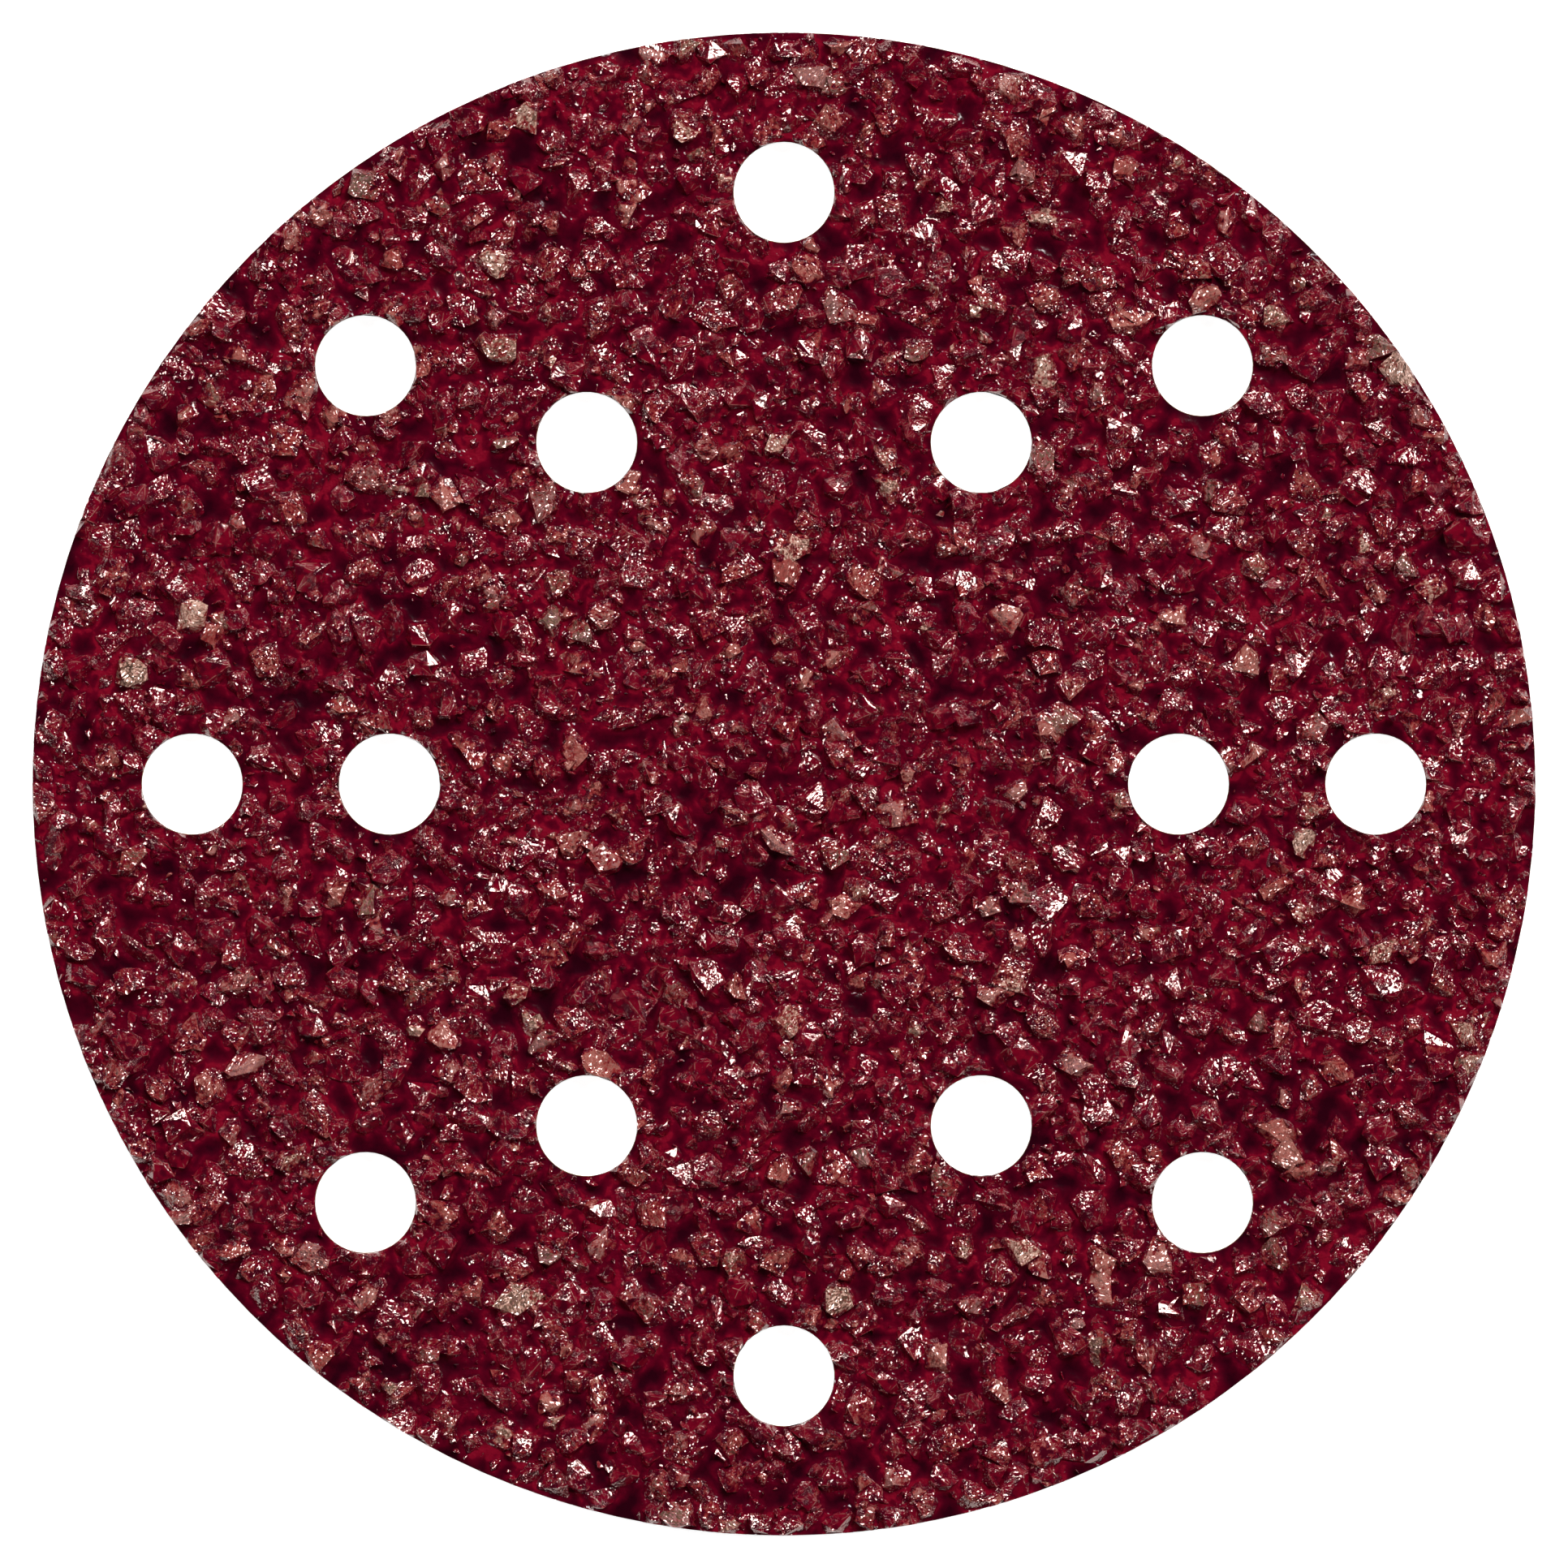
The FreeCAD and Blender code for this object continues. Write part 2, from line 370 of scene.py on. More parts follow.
def grid_points(spacing, edge_break, draw):
    """Points between the cut rings, on a triangular grid with a little stray."""
    row_step = spacing * math.sqrt(3) / 2
    rows = int(rim_radius / row_step) + 1
    points = []
    for j in range(-rows, rows + 1):
        for i in range(-rows, rows + 1):
            x = (i + (j % 2) / 2) * spacing + draw.uniform(-GRID_STRAY, GRID_STRAY) * spacing
            y = j * row_step + draw.uniform(-GRID_STRAY, GRID_STRAY) * spacing
            if depth_inside(x, y, edge_break) > GRID_CLEAR * spacing:
                points.append(Vector((x, y)))
    return points


def triangulated(points, edge_break):
    """Triangles over the points, without those that lie in a hole."""
    verts, _, faces, *_ = delaunay_2d_cdt(points, [], [], 0, 1e-9)
    kept = []
    for face in faces:
        middle = sum((verts[k] for k in face), Vector((0, 0))) / 3
        if depth_inside(middle.x, middle.y, edge_break) > -1e-6:
            kept.append(face)
    return verts, kept


def punched_sheet(name, spacing, height, edge_break):
    """A flat punched mesh at this height."""
    points = sum(cut_rings(spacing, edge_break), [])
    points += grid_points(spacing, edge_break, random.Random(1))
    verts, faces = triangulated(points, edge_break)
    return new_mesh(name, [(v.x, v.y, height) for v in verts], faces)


def punched_slab(name, spacing, low, high, edge_break):
    """A closed punched slab whose top is a fine mesh; its attribute "top" marks the top."""
    rings = cut_rings(spacing, edge_break)
    rim_points = sum(rings, [])
    top_points = rim_points + grid_points(spacing, edge_break, random.Random(1))
    top_verts, top_faces = triangulated(top_points, edge_break)
    low_verts, low_faces = triangulated(rim_points, edge_break)
    first_low = len(top_verts)
    verts = [(v.x, v.y, high) for v in top_verts] + [(v.x, v.y, low) for v in low_verts]
    faces = list(top_faces)
    faces += [tuple(first_low + k for k in reversed(face)) for face in low_faces]
    start = 0
    for number, ring in enumerate(rings):
        for k in range(len(ring)):
            a, b = start + k, start + (k + 1) % len(ring)
            wall = (first_low + a, first_low + b, b, a)
            faces.append(wall if number == 0 else wall[::-1])
        start += len(ring)
    mesh = new_mesh(name, verts, faces)
    top = mesh.attributes.new("top", "FLOAT", "POINT")
    top.data.foreach_set("value", [1.0] * first_low + [0.0] * len(low_verts))
    return mesh


EDGE_BREAK = 0.05 * MM
CLEAR_OF_CUT = 0.3 * MM
SCATTER_SPACING = 1.5 * MM
scatter_mesh = punched_sheet("scatter_sheet", SCATTER_SPACING, paper_top, CLEAR_OF_CUT)
print("scatter sheet:", len(scatter_mesh.polygons), "triangles")

# %% [markdown]
# Now the grain. Real grain is crushed in a mill, so each one is a lump with flat breaks
# that meet at sharp edges. The hull of a handful of random points has just that look,
# for a few dozen triangles, and pushing some of its corners in gives the hollows that a
# hull can't have. A dozen or so, turned and scaled at random, are enough that the eye
# finds no two alike.

# %% Crushed grains
GRAIN_KINDS = 14
CORNER_REACH = (0.40, 0.56)
DENTED_CORNERS = 0.3
DENT = (0.72, 0.92)


def crushed_grain(name, draw, corners, stretch):
    """One crushed grain about 1 m across, to be scaled down when it is scattered."""
    shape = bmesh.new()
    for _ in range(corners):
        way = Vector((draw.gauss(0, 1), draw.gauss(0, 1), draw.gauss(0, 1))).normalized()
        way *= draw.uniform(*CORNER_REACH)
        shape.verts.new((way.x * stretch[0], way.y * stretch[1], way.z * stretch[2]))
    hull = bmesh.ops.convex_hull(shape, input=shape.verts)
    left_over = hull["geom_interior"] + hull["geom_unused"]
    spare = {item for item in left_over if isinstance(item, bmesh.types.BMVert)}
    bmesh.ops.delete(shape, geom=list(spare), context="VERTS")
    for vert in shape.verts:
        if draw.random() < DENTED_CORNERS:
            vert.co *= draw.uniform(*DENT)
    bmesh.ops.recalc_face_normals(shape, faces=shape.faces)
    mesh = bpy.data.meshes.new(name)
    shape.to_mesh(mesh)
    shape.free()
    own = mesh.attributes.new("own_place", "FLOAT_VECTOR", "POINT")
    own.data.foreach_set("vector", [part for vert in mesh.vertices for part in vert.co])
    return mesh


def grain_collection(name, corners, longest):
    """A hidden collection of crushed grains to scatter from."""
    draw = random.Random(len(name))
    folder = bpy.data.collections.new(name)
    for k in range(GRAIN_KINDS):
        stretch = (draw.uniform(1.0, longest), draw.uniform(0.85, 1.1), draw.uniform(0.75, 1.0))
        mesh = crushed_grain(f"{name}_{k}", draw, corners, stretch)
        folder.objects.link(bpy.data.objects.new(f"{name}_{k}", mesh))
    return folder


blocky = grain_collection("blocky", 30, 1.4)
chips = grain_collection("chips", 11, 1.6)

# %% [markdown]
# Two small tools in Geometry Nodes. The first is the punch: a corner that hangs over the
# rim or into a hole is moved straight back onto the cut, which shears a grain off clean
# as the real punch does. It finds the nearest hole from an object that holds only the
# hole centres. The second runs a tree and keeps its result as a plain mesh.

# %% The punch
centres_object = bpy.data.objects.new("hole_centres", new_mesh("hole_centres", hole_centres))

# A straight edge between two corners on a hole's circle hangs into the hole, so the
# corners go this much farther.
CHORD_ROOM = 0.06 * MM
FLAT = (1.0, 1.0, 0.0)
VERTICAL = (0.0, 0.0, 1.0)


def position(tree):
    return add(tree, "GeometryNodeInputPosition").outputs[0]


def move(tree, geometry, **where):
    """The geometry moved by an Offset or to a Position."""
    return add(tree, "GeometryNodeSetPosition", {"Geometry": geometry, **where}).outputs[0]


def shape_of(tree, item):
    """The shape of an object that the tree is given."""
    return add(tree, "GeometryNodeObjectInfo", {"Object": item}).outputs["Geometry"]


def punch_group():
    group, given, result = new_group("punch", [
        ("Geometry", "Geometry"),
        ("Holes", "Object"),
        ("Rim Radius", "Float", rim_radius),
        ("Hole Radius", "Float", hole_radius),
    ])
    flat = vector_calc(group, "MULTIPLY", position(group), FLAT)
    height = vector_calc(group, "MULTIPLY", position(group), VERTICAL)
    length = add(group, "ShaderNodeVectorMath", {0: flat}, operation="LENGTH").outputs[1]
    rim_share = calc(group, "DIVIDE", given["Rim Radius"], length)
    flat = scale(group, flat, calc(group, "MINIMUM", rim_share, 1.0))

    nearest = add(
        group, "GeometryNodeProximity",
        {"Geometry": shape_of(group, given["Holes"]), "Source Position": flat},
        target_element="POINTS",
    ).outputs
    away = vector_calc(group, "SUBTRACT", flat, nearest["Position"])
    clear = plus(group, given["Hole Radius"], CHORD_ROOM)
    hole_share = calc(group, "DIVIDE", clear, nearest["Distance"])
    pushed = scale(group, away, calc(group, "MAXIMUM", hole_share, 1.0))
    flat = vector_calc(group, "ADD", nearest["Position"], pushed)
    place = vector_calc(group, "ADD", flat, height)
    group.links.new(move(group, given["Geometry"], Position=place), result[0])
    return group


def finish_mesh(name, source_mesh, tree, values):
    """Runs a Geometry Nodes tree on a mesh and returns the result as a plain object."""
    item = show(name, source_mesh)
    modifier = item.modifiers.new("nodes", "NODES")
    modifier.node_group = tree
    for socket in tree.interface.items_tree:
        if socket.item_type == "SOCKET" and socket.in_out == "INPUT" and socket.name in values:
            modifier[socket.identifier] = values[socket.name]
    depsgraph = bpy.context.evaluated_depsgraph_get()
    mesh = bpy.data.meshes.new_from_object(item.evaluated_get(depsgraph))
    item.modifiers.remove(modifier)
    item.data = mesh
    mesh.name = name
    return item


punch = punch_group()
print("punch tree with", len(punch.nodes), "nodes")

# %% [markdown]
# The dressing turns points into grain. It lowers each point into the resin and puts a
# random grain on it, turned any way. Each grain remembers a tone and how milky it is,
# and each facet a shade, for the material to read. Slow noise makes some patches
# milkier than others, as in the photograph. Then the grain is dented a little, punched,
# and kept below the coat's top. Beside a hole it first gets finer faces, so that the
# punch can follow the circle.

# %% The dressing tree
PATCH_WAVES = 110.0
PATCH_SWING = 1.2
BESIDE_HOLE = 2.6 * MM
DENT_WAVES = 1100.0
# Over this stretch below the coat's top, tall grains are squashed.
KNEE = 0.12 * MM
ABOVE_PAPER = 0.02 * MM


def random_value(tree, low, high, seed, kind="FLOAT"):
    """A Random Value node's result for each point."""
    first = {"FLOAT_VECTOR": 0, "FLOAT": 2, "INT": 4}[kind]
    output = {"FLOAT_VECTOR": 0, "FLOAT": 1, "INT": 2}[kind]
    inputs = {first: low, first + 1: high, 8: seed}
    return add(tree, "FunctionNodeRandomValue", inputs, data_type=kind).outputs[output]


def store(tree, geometry, name, value, domain="POINT", kind="FLOAT"):
    """Keeps a value on the mesh under this name, and returns the mesh."""
    inputs = {"Geometry": geometry, "Name": name, "Value": value}
    return add(
        tree, "GeometryNodeStoreNamedAttribute", inputs, data_type=kind, domain=domain
    ).outputs[0]


def recall(tree, name):
    """The value that the mesh keeps under this name."""
    inputs = {"Name": name}
    return add(tree, "GeometryNodeInputNamedAttribute", inputs, data_type="FLOAT").outputs[0]


def laid_instances(tree, points, folder, count, seed, rotation, size):
    """One random object of the collection on each point, made real."""
    pieces = add(tree, "GeometryNodeCollectionInfo", {
        "Collection": folder, "Separate Children": True, "Reset Children": True,
    })
    laid = add(tree, "GeometryNodeInstanceOnPoints", {
        "Points": points,
        "Instance": pieces.outputs[0],
        "Pick Instance": True,
        "Instance Index": random_value(tree, 0, count - 1, seed, "INT"),
        "Rotation": rotation,
        "Scale": size,
    })
    return add(tree, "GeometryNodeRealizeInstances", {0: laid.outputs[0]}).outputs[0]


def hand_out(tree, geometry, material, result):
    """Gives the mesh its material and passes it to the tree's output."""
    painted = add(tree, "GeometryNodeSetMaterial", {"Geometry": geometry, "Material": material})
    tree.links.new(painted.outputs[0], result[0])


def finer_beside_holes(tree, geometry):
    beside = calc(tree, "GREATER_THAN", recall(tree, "beside_hole"), 0.5)
    parts = add(
        tree, "GeometryNodeSeparateGeometry", {"Geometry": geometry, "Selection": beside},
        domain="FACE",
    ).outputs
    finer = add(tree, "GeometryNodeSubdivideMesh", {"Mesh": parts[0], "Level": 1})
    finer = add(tree, "GeometryNodeTriangulate", {"Mesh": finer.outputs[0]})
    joined = add(tree, "GeometryNodeJoinGeometry", {0: finer.outputs[0]})
    tree.links.new(parts[1], joined.inputs[0])
    return joined.outputs[0]


def corner_marks(tree):
    """(1, 0, 0), (0, 1, 0) and (0, 0, 1) at the three corners of a triangle."""
    number = calc(tree, "MODULO", add(tree, "GeometryNodeInputIndex").outputs[0], 3.0)
    marks = {k: calc(tree, "COMPARE", number, float(k), 0.1) for k in range(3)}
    return add(tree, "ShaderNodeCombineXYZ", marks).outputs[0]


def held_below(tree, top):
    """The position, kept over the paper and squashed softly towards the top."""
    place = add(tree, "ShaderNodeSeparateXYZ", {0: position(tree)}).outputs
    height = calc(tree, "MAXIMUM", place[2], paper_top + ABOVE_PAPER)
    knee = calc(tree, "SUBTRACT", top, KNEE)
    over = calc(tree, "MAXIMUM", calc(tree, "SUBTRACT", height, knee), 0.0)
    over = calc(tree, "DIVIDE", over, calc(tree, "MULTIPLY_ADD", over, 0.5 / KNEE, 1.0))
    height = plus(tree, calc(tree, "MINIMUM", height, knee), over)
    height = calc(tree, "MINIMUM", height, top)
    inputs = {0: place[0], 1: place[1], 2: height}
    return add(tree, "ShaderNodeCombineXYZ", inputs).outputs[0]


def dressing_group(material):
    """Puts a random grain on every point, then makes it real, punches and paints it."""
    tree, given, result = new_group("grain_dressing", [
        ("Points", "Geometry"),
        ("Grains", "Collection"),
        ("Holes", "Object"),
        ("Size", "Float", 2 * MM),
        ("Bury", "Float", 0.4),
        ("Stray", "Float", 1.2 * MM),
        ("Top", "Float", coat_top),
        ("Seed", "Int", 1),
    ])
    seed = given["Seed"]
    size = given["Size"]
    sunk = times(tree, size, times(tree, given["Bury"], -1.0))
    points = move(tree, given["Points"], Offset=upright(tree, sunk))

    tone = random_value(tree, 0.0, 1.0, plus(tree, seed, 11))
    milk = random_value(tree, 0.0, 1.0, plus(tree, seed, 17))
    patch = swing(tree, noise(tree, position(tree), PATCH_WAVES, 1.0), PATCH_SWING)
    away = add(
        tree, "GeometryNodeProximity", {"Geometry": shape_of(tree, given["Holes"])},
        target_element="POINTS",
    ).outputs["Distance"]
    points = store(tree, points, "tone", tone)
    points = store(tree, points, "milk", plus(tree, milk, patch))
    points = store(tree, points, "grain_size", size)
    beside = calc(tree, "LESS_THAN", away, hole_radius + BESIDE_HOLE)
    points = store(tree, points, "beside_hole", beside)

    any_way = random_value(
        tree, (0, 0, 0), (2 * math.pi,) * 3, plus(tree, seed, 41), "FLOAT_VECTOR"
    )
    grains = laid_instances(
        tree, points, given["Grains"], GRAIN_KINDS, plus(tree, seed, 37), any_way, size
    )
    facet_shade = random_value(tree, 0.0, 1.0, plus(tree, seed, 53))
    grains = store(tree, grains, "facet_shade", facet_shade, "FACE")
    grains = finer_beside_holes(tree, grains)

    uneven = add(tree, "ShaderNodeTexNoise", {
        "Vector": position(tree), "Scale": DENT_WAVES, "Detail": 0.0,
    })
    dent = vector_calc(tree, "SUBTRACT", uneven.outputs["Color"], (0.5, 0.5, 0.5))
    grains = move(tree, grains, Offset=scale(tree, dent, given["Stray"]))
    grains = store(tree, grains, "corner", corner_marks(tree), "CORNER", "FLOAT_VECTOR")
    inputs = {"Geometry": grains, "Holes": given["Holes"]}
    punched = add(tree, "GeometryNodeGroup", inputs, node_tree=punch).outputs[0]
    capped = move(tree, punched, Position=held_below(tree, given["Top"]))
    hand_out(tree, capped, material, result)
    return tree


print("dressing ready")

# %% [markdown]
# Points come from two places. Seated grain stands where the frame says, each grain as
# large as its seat. Scattered grain falls on the sheet, no two nearer than the spacing,
# crowded in some patches and missing in others. Both trees end in the same dressing.

# %% Seated and scattered grain
CROWD_WAVES = 160.0
CROWD_RANGE = (0.36, 0.5)
MOST_POINTS = 3e6
# Above 1, this power makes small grains more common than large ones.
SMALL_BIAS = 1.6


def dress(tree, dressing, points, given, size, result):
    """Passes points through the dressing group and on to the tree's output."""
    inputs = {name: given[name] for name in ("Grains", "Holes", "Bury", "Seed")}
    inputs.update({"Points": points, "Size": size})
    node = add(tree, "GeometryNodeGroup", inputs, node_tree=dressing)
    tree.links.new(node.outputs[0], result[0])


SHARED_INPUTS = [
    ("Geometry", "Geometry"),
    ("Grains", "Collection"),
    ("Holes", "Object"),
    ("Bury", "Float", 0.4),
    ("Seed", "Int", 1),
]


def seated_tree(dressing):
    """Grains on the seats that the frame gives, each as large as its seat says."""
    tree, given, result = new_group("seated_grain", SHARED_INPUTS)
    dress(tree, dressing, given["Geometry"], given, recall(tree, "size"), result)
    return tree


def scattered_tree(dressing):
    """Grains on random points of the sheet."""
    tree, given, result = new_group("scattered_grain", SHARED_INPUTS + [
        ("Spacing", "Float", 2 * MM),
        ("Smallest", "Float", 2 * MM),
        ("Largest", "Float", 3 * MM),
        ("Lowest", "Float", 0.0),
        ("Highest", "Float", 1 * MM),
    ])
    seed = given["Seed"]
    crowd = remap(tree, noise(tree, position(tree), CROWD_WAVES, 1.0), *CROWD_RANGE)
    scattered = add(tree, "GeometryNodeDistributePointsOnFaces", {
        "Mesh": given["Geometry"],
        "Distance Min": given["Spacing"],
        "Density Max": MOST_POINTS,
        "Density Factor": crowd,
        "Seed": seed,
    }, distribute_method="POISSON")
    lift = random_value(tree, given["Lowest"], given["Highest"], seed)
    raised = move(tree, scattered.outputs["Points"], Offset=upright(tree, lift))
    dice = random_value(tree, 0.0, 1.0, plus(tree, seed, 23))
    size = add(tree, "ShaderNodeMapRange", {
        0: calc(tree, "POWER", dice, SMALL_BIAS),
        3: given["Smallest"],
        4: given["Largest"],
    }).outputs[0]
    dress(tree, dressing, raised, given, size, result)
    return tree


print("seated and scattered grain ready")

# %% [markdown]
# Broken crystal seen close up is a mosaic: flat little breaks, each tilted its own way.
# A Voronoi texture gives that: every cell has a random colour, and reading that colour
# as a slope makes the cell a small tilted plane. The group puts out the height of those
# planes for a Bump node and a shade for each cell.

# %% Crystal facets
facets, given, result = new_group(
    "crystal_facets",
    [("Vector", "Vector"), ("Facets per mm", "Float", 2.0)],
    [("Height", "Float"), ("Shade", "Float")],
    "ShaderNodeTree",
)
fineness = given["Facets per mm"]
scaled = scale(facets, given["Vector"], 1 / MM)
inputs = {"Vector": scaled, "Scale": fineness}
cells = add(facets, "ShaderNodeTexVoronoi", inputs, feature="F1").outputs
tilt = vector_calc(facets, "SUBTRACT", cells["Color"], (0.5,) * 3)
middle = scale(facets, cells["Position"], fineness)
within = vector_calc(facets, "SUBTRACT", scale(facets, scaled, fineness), middle)
slope = add(facets, "ShaderNodeVectorMath", {0: within, 1: tilt}, operation="DOT_PRODUCT")
facets.links.new(slope.outputs[1], result["Height"])
facets.links.new(axis(facets, cells["Color"], 0), result["Shade"])
print("crystal facets group ready")

# %% [markdown]
# A grain's own colour follows its tone, from rose brown through mauve to the odd olive
# or pale one. It shows where the grain is milky, with veils of noise in it; where it is
# clear, rose or wine red comes through from the resin below. Resin also wets it: the wet
# share falls with height, and noise makes its tide line uneven. Facets that face sideways
# get wine red too, partly for resin on their sides and partly as painted shade, so that
# facets facing up look lit. Pale lines along facet edges are painted highlights. The hard
# little glints come from a smooth skin with a high index of refraction and from facets
# of three sizes: those of the mesh and two sizes of bump.

# %% Grain material
WINE = srgb(125, 2, 31)
DEEP_WINE = srgb(76, 0, 23)
ROSE = srgb(150, 42, 44)
# The pale colour of painted highlights along facet edges.
EDGE_HIGHLIGHT = srgb(206, 150, 138)
GARNET = [
    (0.0, srgb(168, 80, 74)),
    (0.25, srgb(180, 104, 94)),
    (0.5, srgb(190, 124, 114)),
    (0.66, srgb(166, 108, 110)),
    (0.8, srgb(112, 84, 68)),
    (0.88, srgb(130, 96, 80)),
    (0.94, srgb(186, 132, 116)),
    (1.0, srgb(228, 182, 164)),
]
# The share of the grain's own colour is a sum of its milkiness, its veils, one side of
# it, and the shades of its facets and bumps, each with a weight, less the clearness.
CLEARNESS = -1.1
MILK = 2.0
VEIL = 2.4
ONE_SIDE = 0.35
FACET_SHADE = 0.15
COARSE_SHADE = 0.1
FINE_SHADE = 0.35
# Between these shares the wine turns to rose, and the rose to the grain's own colour.
ROSE_SHARE = (0.3, 0.65)
OWN_SHARE = (0.5, 1.1)
HUE_SWING = 0.3
# Waves to the metre of the veils in a grain, and of the cloud over all. The shift, times
# the tone, keeps two grains of one shape from having the same veils.
VEIL_WAVES = 2300.0
CLOUD_WAVES = 1100.0
GRAIN_SHIFT = (0.3, 0.5, 0.7)
WINE_CLOUD = (0.3, 0.65)
# The resin's tide line strays up and down. Facets that face up at least this much are bare and
# painted as lit.
TIDE_STRAY = 1.8 * MM
UPWARD_STRAY = 0.8
UPWARD = (0.25, 0.95)
# Pale edges of painted highlight: how wide, as a share of the triangle, in which cloud, and how
# strong.
EDGE_HIGHLIGHT_WIDTH = 0.06
EDGE_HIGHLIGHT_CLOUD = (0.52, 0.62)
EDGE_HIGHLIGHT_SHARE = 0.4
# Facets to the millimetre, drawn out along some axes, and how far they stand out.
STREAK = (1.0, 0.5, 0.75)
FACETS = 2.0
FINE_FACETS = 8.0
FACET_DEPTH = 0.5 * MM
FINE_DEPTH = 0.2 * MM
# The bumps' strength: the tone times a number, less its whole part, is another random
# number, which says how broken a grain is. Clear and wet grains are smoother.
ANOTHER = 17.0
BROKEN = (0.0, 0.6, 0.5, 1.0)
LIVELY = (0.5, 0.9, 0.3, 1.0)
LIVELY_LIFT = 0.22
GRAIN_ROUGHNESS = 0.08
GRAIN_IOR = 2.2
GLINT = (1.0, 0.76, 0.7, 1.0)


def new_material(name):
    """A material with its tree, its Principled node and the place on the object."""
    material = bpy.data.materials.new(name)
    material.use_nodes = True
    tree = material.node_tree
    place = add(tree, "ShaderNodeTexCoord").outputs["Object"]
    return material, tree, tree.nodes["Principled BSDF"], place


def attribute(tree, name, output="Fac"):
    """What the mesh keeps under this name, for a shader."""
    return add(tree, "ShaderNodeAttribute", attribute_name=name).outputs[output]


def bumps(tree, height, depth, **more):
    """A Bump node's normal."""
    inputs = {"Height": height, "Distance": depth, **more}
    return add(tree, "ShaderNodeBump", inputs).outputs[0]


def cover(tree, skin, colour, normal, roughness):
    """Gives a Principled node its colour, bumps and roughness."""
    tree.links.new(colour, skin.inputs["Base Color"])
    tree.links.new(normal, skin.inputs["Normal"])
    skin.inputs["Roughness"].default_value = roughness


def painted_edge_highlights(tree, cloud, dry):
    """The share of painted highlight: near a triangle's sides, here and there, on dry facets."""
    corner = add(tree, "ShaderNodeSeparateXYZ", {0: attribute(tree, "corner", "Vector")}).outputs
    inward = calc(tree, "MINIMUM", corner[0], calc(tree, "MINIMUM", corner[1], corner[2]))
    edge = remap(tree, inward, 0.0, EDGE_HIGHLIGHT_WIDTH, 1.0, 0.0)
    edge = times(tree, edge, remap(tree, cloud, *EDGE_HIGHLIGHT_CLOUD))
    return times(tree, edge, times(tree, dry, EDGE_HIGHLIGHT_SHARE))


def grain_material(name, stops, wet_low, wet_high):
    """Crushed crystal. stops colour the tones, and resin wets it between the two heights."""
    material, tree, skin, spot = new_material(name)
    tone = attribute(tree, "tone")
    own = attribute(tree, "own_place", "Vector")
    within = scale(tree, own, attribute(tree, "grain_size"))
    within = vector_calc(tree, "ADD", within, scale(tree, GRAIN_SHIFT, tone))
    veil = noise(tree, within, VEIL_WAVES, 2.0, 0.7)
    within = vector_calc(tree, "MULTIPLY", within, STREAK)
    inputs = {"Vector": within, "Facets per mm": FACETS}
    coarse = add(tree, "ShaderNodeGroup", inputs, node_tree=facets).outputs
    inputs["Facets per mm"] = FINE_FACETS
    fine = add(tree, "ShaderNodeGroup", inputs, node_tree=facets).outputs
    cloud = noise(tree, spot, CLOUD_WAVES, 1.0)

    height = plus(tree, axis(tree, spot, 2), swing(tree, cloud, TIDE_STRAY))
    dry = remap(tree, height, wet_low, wet_high)
    # Partly resin on the sides, partly painted shade: facets that face sideways or down turn wine
    # red.
    upward = axis(tree, add(tree, "ShaderNodeNewGeometry").outputs["Normal"], 2)
    upward = plus(tree, upward, swing(tree, cloud, UPWARD_STRAY))
    bare_and_lit = times(tree, dry, remap(tree, upward, *UPWARD))

    share = calc(tree, "MULTIPLY_ADD", attribute(tree, "milk"), MILK, CLEARNESS)
    share = calc(tree, "MULTIPLY_ADD", axis(tree, own, 0), ONE_SIDE, share)
    share = plus(tree, share, swing(tree, veil, VEIL))
    share = calc(tree, "MULTIPLY_ADD", attribute(tree, "facet_shade"), FACET_SHADE, share)
    lively = times(tree, plus(tree, share, LIVELY_LIFT), bare_and_lit)
    share = calc(tree, "MULTIPLY_ADD", coarse["Shade"], COARSE_SHADE, share)
    share = calc(tree, "MULTIPLY_ADD", fine["Shade"], FINE_SHADE, share)
    share = times(tree, share, bare_and_lit)

    wet = blend(tree, remap(tree, cloud, *WINE_CLOUD), DEEP_WINE, WINE)
    body = blend(tree, remap(tree, share, *ROSE_SHARE), wet, ROSE)
    hue = plus(tree, swing(tree, fine["Shade"], HUE_SWING), tone)
    body = blend(tree, remap(tree, share, *OWN_SHARE), body, ramp(tree, hue, stops))
    # Painted highlights: pale lines along the facets' edges, as if they caught the light.
    body = blend(tree, painted_edge_highlights(tree, cloud, dry), body, EDGE_HIGHLIGHT)

    broken = calc(tree, "FRACT", times(tree, tone, ANOTHER))
    lively = remap(tree, plus(tree, lively, cloud), *LIVELY)
    crush = times(tree, remap(tree, broken, *BROKEN), lively)
    normal = bumps(tree, coarse["Height"], FACET_DEPTH, Strength=crush)
    normal = bumps(tree, fine["Height"], FINE_DEPTH, Strength=crush, Normal=normal)
    cover(tree, skin, body, normal, GRAIN_ROUGHNESS)
    skin.inputs["IOR"].default_value = GRAIN_IOR
    skin.inputs["Specular Tint"].default_value = GLINT
    return material


WET_BELOW = paper_top + 0.55 * MM
DRY_ABOVE = paper_top + 1.8 * MM
garnet = grain_material("garnet_grain", GARNET, WET_BELOW, DRY_ABOVE)
print("grain material with", len(garnet.node_tree.nodes), "nodes")

# %% [markdown]
# The biggest grains sit where the CAD model has them: each of its tips is a seat. A seat
# is as wide as the mean way to its three nearest neighbours. The grain on it is a little
# larger than that, so that grains meet and overlap, and its top comes up to the tip.

# %% Grain seats
TIP_LEVEL = paper_top + 0.9 * MM
NEIGHBOURS = 3
OVERLAP = (1.1, 1.75)
SMALLEST_SEATED = 2.4 * MM
LARGEST_SEATED = 4.8 * MM

